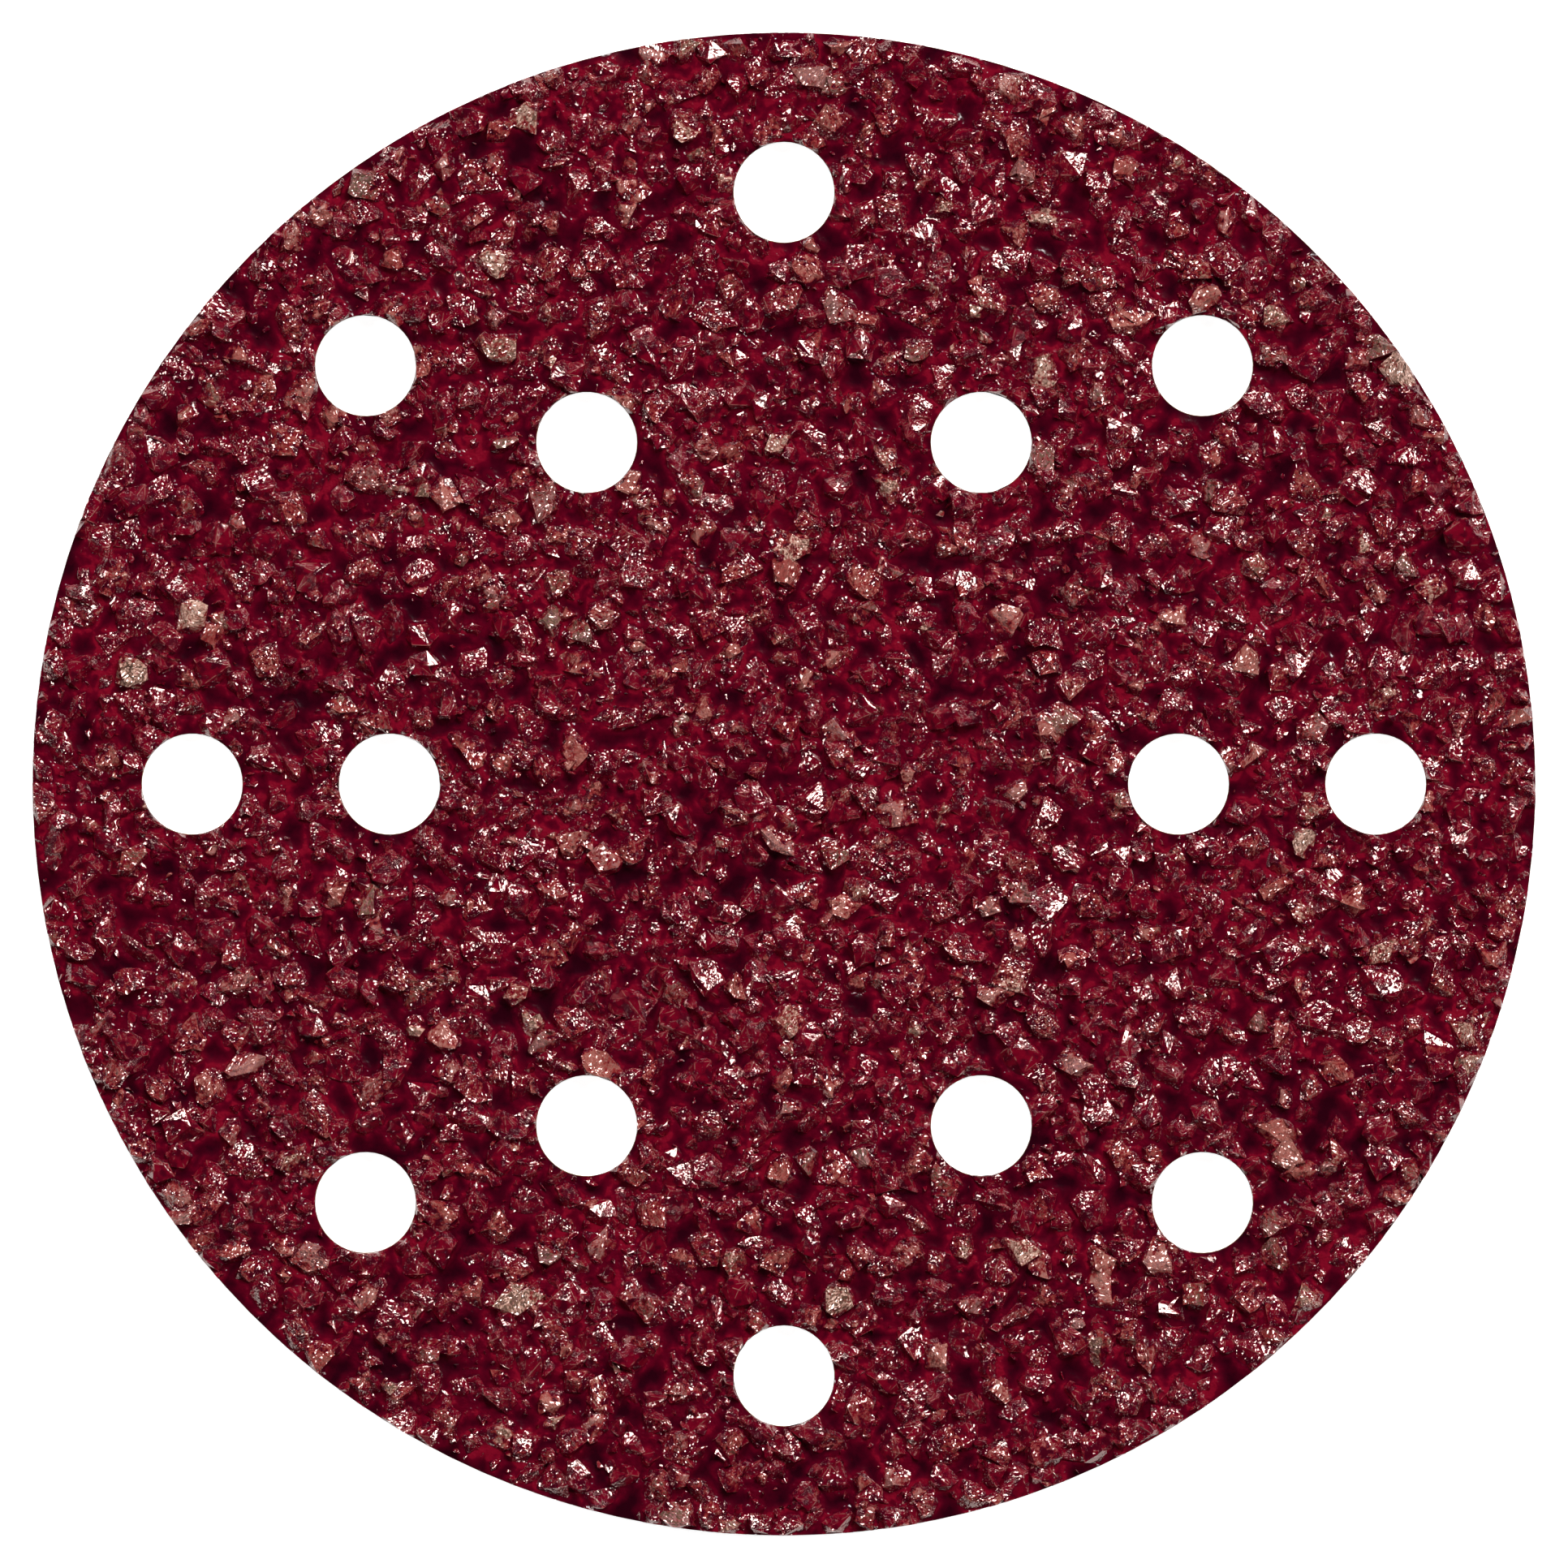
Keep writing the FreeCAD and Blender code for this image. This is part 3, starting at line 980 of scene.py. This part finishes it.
tips = {}
for vert in frame["nodes"]["abrasive_coat"].data.vertices:
    key = (round(vert.co.x, 5), round(vert.co.y, 5))
    if vert.co.z > TIP_LEVEL and depth_inside(vert.co.x, vert.co.y) > CLEAR_OF_CUT:
        tips[key] = vert.co.copy()
seats = list(tips.values())

tree_of_seats = kdtree.KDTree(len(seats))
for k, seat in enumerate(seats):
    tree_of_seats.insert((seat.x, seat.y, 0), k)
tree_of_seats.balance()
widths = []
for seat in seats:
    near = tree_of_seats.find_n((seat.x, seat.y, 0), NEIGHBOURS + 1)
    widths.append(sum(distance for _, _, distance in near[1:]) / NEIGHBOURS)

draw = random.Random(3)
seat_mesh = new_mesh("grain_seats", seats)
seat_size = seat_mesh.attributes.new("size", "FLOAT", "POINT")
sizes = [width * draw.uniform(*OVERLAP) for width in widths]
sizes = [min(LARGEST_SEATED, max(SMALLEST_SEATED, size)) for size in sizes]
seat_size.data.foreach_set("value", sizes)
print(len(seats), "seats,", round(sum(widths) / len(widths) / MM, 2), "mm apart on average")

# %% [markdown]
# Then two smaller sizes are scattered on the sheet: middling grains that lie lower, and
# small chips in the gaps and on the resin. Each size is a piece of its own.

# %% Lay the grain
dressing = dressing_group(garnet)
seated = seated_tree(dressing)
scattered = scattered_tree(dressing)
SEATED_BURY = 0.38
# Piece, grains, seed, and the lengths in millimetres.
LENGTHS = ("Spacing", "Smallest", "Largest", "Lowest", "Highest")
SCATTERED = [
    ("grain_medium", blocky, 2, (1.8, 1.3, 2.5, 0.15, 0.55)),
    ("grain_chips", chips, 3, (1.2, 0.35, 0.95, 0.5, 1.1)),
]

grain_pieces = [finish_mesh("grain_coarse", seat_mesh, seated, {
    "Grains": blocky, "Holes": centres_object, "Bury": SEATED_BURY, "Seed": 1,
})]
for name, folder, seed, lengths in SCATTERED:
    values = {"Grains": folder, "Holes": centres_object, "Bury": 0.0, "Seed": seed}
    values.update({label: length * MM for label, length in zip(LENGTHS, lengths)})
    grain_pieces.append(finish_mesh(name, scatter_mesh.copy(), scattered, values))
for piece in grain_pieces:
    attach(piece, ROOT)
    print(piece.name, len(piece.data.polygons), "triangles")

# %% [markdown]
# The resin was liquid when the grain fell into it. It lies thin and level between the
# grains and climbs up their sides. So its height at each point depends on how far the
# nearest grain is. A Geometry Proximity node measures that, and the tree keeps the
# nearness for the material, which paints light with it: a red glow near a grain, as if
# light came through it, and painted shade, nearly black, in a deep gap.

# %% Resin film
RESIN_SPACING = 0.5 * MM
RESIN_LEVEL = 0.4 * MM
RESIN_CLIMB = 0.35 * MM
CLIMB_REACH = 0.55 * MM
# At its reach from a grain, the climb has fallen to this share.
CLIMB_LEFT = 0.3
RESIN_WAVES = 500.0
RESIN_UNEVEN = 0.12 * MM
CUT_ANGLE = math.radians(40)
# Resin colours from painted shade in deep gaps to a painted red glow beside a grain.
RESIN_SHADE_TO_GLOW = [
    (0.1, srgb(42, 0, 14)),
    (0.5, srgb(68, 0, 20)),
    (0.85, srgb(95, 1, 26)),
    (1.0, srgb(126, 9, 34)),
]
# Waves to the metre and reach of the cloud and the pools in its colour.
RESIN_CLOUD = (800.0, 0.9)
RESIN_POOLS = (180.0, 1.2)
# Ripples are strongest beside a grain.
RIPPLE_WAVES = 1900.0
RIPPLE_DEPTH = 0.35 * MM
RIPPLE_STRENGTH = (0.6, 1.0, 0.05, 0.7)
RESIN_ROUGHNESS = 0.12


def resin_tree(material):
    tree, given, result = new_group("resin_film", [
        ("Geometry", "Geometry"),
        ("Coarse", "Object"),
        ("Medium", "Object"),
        ("Climb", "Float", RESIN_CLIMB),
        ("Reach", "Float", CLIMB_REACH),
    ])
    both = add(tree, "GeometryNodeJoinGeometry")
    for label in ("Coarse", "Medium"):
        tree.links.new(shape_of(tree, given[label]), both.inputs[0])
    nearest = add(
        tree, "GeometryNodeProximity", {"Geometry": both.outputs[0]}, target_element="FACES"
    )
    share = calc(tree, "DIVIDE", nearest.outputs["Distance"], given["Reach"])
    near = calc(tree, "POWER", CLIMB_LEFT, share)
    uneven = times(tree, noise(tree, position(tree), RESIN_WAVES), RESIN_UNEVEN)
    rise = plus(tree, times(tree, near, given["Climb"]), uneven)
    rise = times(tree, rise, recall(tree, "top"))
    film = move(tree, store(tree, given["Geometry"], "near", near), Offset=upright(tree, rise))
    smooth = add(tree, "GeometryNodeSetShadeSmooth", {"Geometry": film})
    angle = add(tree, "GeometryNodeInputMeshEdgeAngle").outputs["Unsigned Angle"]
    cut = calc(tree, "GREATER_THAN", angle, CUT_ANGLE)
    inputs = {"Geometry": smooth.outputs[0], "Selection": cut, "Shade Smooth": False}
    smooth = add(tree, "GeometryNodeSetShadeSmooth", inputs, domain="EDGE")
    hand_out(tree, smooth.outputs[0], material, result)
    return tree


def resin_material():
    material, tree, skin, spot = new_material("wine_resin")
    # The nearness paints light: a red glow beside a grain, and painted shade, nearly black, far
    # from one.
    near = attribute(tree, "near")
    glow = near
    for (waves, reach), detail in ((RESIN_CLOUD, 3.0), (RESIN_POOLS, 2.0)):
        glow = plus(tree, glow, swing(tree, noise(tree, spot, waves, detail), reach))
    ripple = noise(tree, spot, RIPPLE_WAVES, 1.0)
    strength = remap(tree, near, *RIPPLE_STRENGTH)
    normal = bumps(tree, ripple, RIPPLE_DEPTH, Strength=strength)
    cover(tree, skin, ramp(tree, glow, RESIN_SHADE_TO_GLOW), normal, RESIN_ROUGHNESS)
    return material


resin = finish_mesh(
    "resin_film",
    punched_slab("resin_slab", RESIN_SPACING, paper_top, paper_top + RESIN_LEVEL, EDGE_BREAK),
    resin_tree(resin_material()),
    {"Coarse": grain_pieces[0], "Medium": grain_pieces[1]},
)
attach(resin, ROOT)
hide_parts("abrasive_coat")
print("resin film:", len(resin.data.polygons), "faces")

# %% [markdown]
# Below the coat is the paper, and its solid from the CAD model is right as it is: only
# its cut edge shows, round the rim and in the holes. Punched kraft paper shows its
# fibres there as fine brown streaks, so the noise is squashed in height.

# %% Paper
FIBRE_SQUASH = (1.0, 1.0, 12.0)
FIBRE_WAVES = 1500.0
KRAFT = [
    (0.3, srgb(112, 84, 56)),
    (0.5, srgb(158, 126, 90)),
    (0.72, srgb(196, 168, 130)),
]
MOTTLE = srgb(136, 104, 72)
MOTTLE_WAVES = 160.0
MOTTLE_SHARE = (0.4, 0.7, 0.0, 0.35)
FIBRE_DEPTH = 0.06 * MM
PAPER_ROUGHNESS = 0.85


def paper_material():
    material, tree, skin, spot = new_material("kraft_paper")
    laid = add(tree, "ShaderNodeMapping", {"Vector": spot, "Scale": FIBRE_SQUASH}).outputs[0]
    fibre = noise(tree, laid, FIBRE_WAVES, 4.0, 0.7)
    mottle = remap(tree, noise(tree, spot, MOTTLE_WAVES), *MOTTLE_SHARE)
    colour = blend(tree, mottle, ramp(tree, fibre, KRAFT), MOTTLE)
    cover(tree, skin, colour, bumps(tree, fibre, FIBRE_DEPTH), PAPER_ROUGHNESS)
    return material


paper = frame["nodes"]["backing_paper"]
paper_colours = paper_material()
for place in paper.material_slots:
    place.material = paper_colours
print("paper carries", paper_colours.name)

# %% [markdown]
# The grip side is a knitted cloth, glued to the paper, with thousands of little yarn
# loops standing out of it for the hooks of the pad to catch. The cloth itself is a thin
# punched sheet.

# %% Knitted cloth
CLOTH_THICKNESS = 0.35 * MM
CLOTH_SPACING = 4 * MM
STITCH = (0.6 * MM, 0.8 * MM)
STITCH_SHARE = 0.35
FUZZ_WAVES = 2600.0
WEAVE_RANGE = (0.2, 0.9)
WEAVE_DEPTH = 0.12 * MM
DARK_CLOTH = srgb(150, 143, 130)
LIGHT_CLOTH = srgb(208, 202, 190)
CLOTH_ROUGHNESS = 0.9


def cloth_material():
    material, tree, skin, spot = new_material("knitted_cloth")
    waves = []
    for number, pitch in enumerate(STITCH):
        turn = times(tree, axis(tree, spot, number), 2 * math.pi / pitch)
        waves.append(calc(tree, "SINE", turn))
    knit = times(tree, times(tree, *waves), STITCH_SHARE)
    weave = plus(tree, knit, noise(tree, spot, FUZZ_WAVES, 3.0))
    colour = blend(tree, remap(tree, weave, *WEAVE_RANGE), DARK_CLOTH, LIGHT_CLOTH)
    cover(tree, skin, colour, bumps(tree, weave, WEAVE_DEPTH), CLOTH_ROUGHNESS)
    return material


cloth = show("loop_cloth", punched_slab(
    "loop_cloth", CLOTH_SPACING, loop_top - CLOTH_THICKNESS, loop_top, EDGE_BREAK
))
cloth.data.materials.append(cloth_material())

# %% [markdown]
# A loop is a short arch of yarn, thicker than it looks because it is a loose bundle of
# fibres. Six slightly different arches, set in rows by Geometry Nodes, turned and scaled
# a little at random and all leaning one way from brushing, read as a pile.

# %% Yarn loops
LOOP_KINDS = 6
LOOP_STEPS = 4
YARN_RADIUS = 0.13 * MM
# The yarn is thinner at its feet and swells towards the bend.
FOOT_SHARE = 0.85
BEND_SHARE = 0.5
# Least and most of a loop's width, drop, lean and twist, in millimetres.
LOOP_WIDTH = (0.75, 1.15)
LOOP_DROP = (0.56, 0.64)
LOOP_LEAN = (0.25, 0.6)
LOOP_TWIST = (-0.25, 0.25)
# Loops stand this far apart, with their feet this deep in the cloth.
KNIT_PITCH = 1.5 * MM
FOOT_DEPTH = 0.05 * MM
# The yarn's shade: its own tone, its fibres, and wide patches.
TONE_SHARE = 0.4
FIBRE_SHARE = 0.6
PATCH_REACH = 0.5
YARN_WAVES = 9000.0
YARN_PATCH_WAVES = 120.0
YARN_RANGE = (0.2, 0.8)
YARN_DEPTH = 0.08 * MM
DARK_YARN = srgb(196, 189, 174)
LIGHT_YARN = srgb(236, 232, 222)
YARN_ROUGHNESS = 0.75
YARN_SHEEN = 0.5
SHEEN_ROUGHNESS = 0.4


def yarn_loop(name, draw):
    """An arch of yarn hanging below the origin, three-sided in section."""
    half = draw.uniform(*LOOP_WIDTH) * MM / 2
    drop = draw.uniform(*LOOP_DROP) * MM
    lean = draw.uniform(*LOOP_LEAN) * MM
    twist = draw.uniform(*LOOP_TWIST) * MM
    verts = []
    for k in range(LOOP_STEPS + 1):
        turn = math.pi * k / LOOP_STEPS
        sine, cosine = math.sin(turn), math.cos(turn)
        middle = Vector((-cosine * half, sine * lean, -sine * drop))
        middle.y += cosine * twist
        way = Vector((sine * half, cosine * lean, -cosine * drop)).normalized()
        side = way.cross(Vector((0, 1, 0))).normalized()
        up = side.cross(way)
        thick = YARN_RADIUS * (FOOT_SHARE + BEND_SHARE * sine)
        for corner in range(3):
            spin = 2 * math.pi * corner / 3
            verts.append(middle + thick * (math.cos(spin) * side + math.sin(spin) * up))
    faces = []
    for k in range(LOOP_STEPS):
        for corner in range(3):
            a, b = 3 * k + corner, 3 * k + (corner + 1) % 3
            faces.append((a, b, b + 3, a + 3))
    mesh = new_mesh(name, verts, faces)
    shape = bmesh.new()
    shape.from_mesh(mesh)
    bmesh.ops.recalc_face_normals(shape, faces=shape.faces)
    shape.to_mesh(mesh)
    shape.free()
    return mesh


def yarn_material():
    material, tree, skin, spot = new_material("loop_yarn")
    tone = times(tree, attribute(tree, "tone"), TONE_SHARE)
    fibres = noise(tree, spot, YARN_WAVES, 3.0)
    patch = swing(tree, noise(tree, spot, YARN_PATCH_WAVES), PATCH_REACH)
    mood = plus(tree, tone, times(tree, fibres, FIBRE_SHARE))
    mood = remap(tree, plus(tree, mood, patch), *YARN_RANGE)
    colour = blend(tree, mood, DARK_YARN, LIGHT_YARN)
    cover(tree, skin, colour, bumps(tree, fibres, YARN_DEPTH), YARN_ROUGHNESS)
    skin.inputs["Sheen Weight"].default_value = YARN_SHEEN
    skin.inputs["Sheen Roughness"].default_value = SHEEN_ROUGHNESS
    return material


def pile_tree(material):
    """A yarn loop on every point, turned and scaled a little at random."""
    tree, given, result = new_group("loop_pile", [
        ("Geometry", "Geometry"),
        ("Loops", "Collection"),
        ("Turn", "Float", 0.7),
        ("Smallest", "Float", 0.85),
        ("Largest", "Float", 1.05),
        ("Seed", "Int", 5),
    ])
    seed = given["Seed"]
    tone = random_value(tree, 0.0, 1.0, seed)
    toned = store(tree, given["Geometry"], "tone", tone)
    turn = given["Turn"]
    back = times(tree, turn, -1.0)
    spin = random_value(tree, back, turn, plus(tree, seed, 1))
    size = random_value(tree, given["Smallest"], given["Largest"], plus(tree, seed, 3))
    turned = upright(tree, spin)
    loops = laid_instances(
        tree, toned, given["Loops"], LOOP_KINDS, plus(tree, seed, 2), turned, size
    )
    smooth = add(tree, "GeometryNodeSetShadeSmooth", {"Geometry": loops})
    hand_out(tree, smooth.outputs[0], material, result)
    return tree


draw = random.Random(5)
loop_folder = bpy.data.collections.new("yarn_loops")
for k in range(LOOP_KINDS):
    name = f"yarn_loop_{k}"
    loop_folder.objects.link(bpy.data.objects.new(name, yarn_loop(name, draw)))

feet_points = grid_points(KNIT_PITCH, CLEAR_OF_CUT, random.Random(2))
foot_level = loop_top - CLOTH_THICKNESS + FOOT_DEPTH
feet = new_mesh("loop_feet", [(p.x, p.y, foot_level) for p in feet_points])
pile = finish_mesh("loop_pile", feet, pile_tree(yarn_material()), {"Loops": loop_folder})
print(len(feet_points), "yarn loops,", 2 * len(pile.data.polygons), "triangles")

# %% [markdown]
# Cloth and loops are on the disc's one body, and together they replace the plain layer of
# the CAD model. The cloth has the disc's own outline, with the holes cut out.

# %% Cloth and loops ride on the frame
for piece in (cloth, pile):
    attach(piece, ROOT)
    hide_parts("loop_backing")
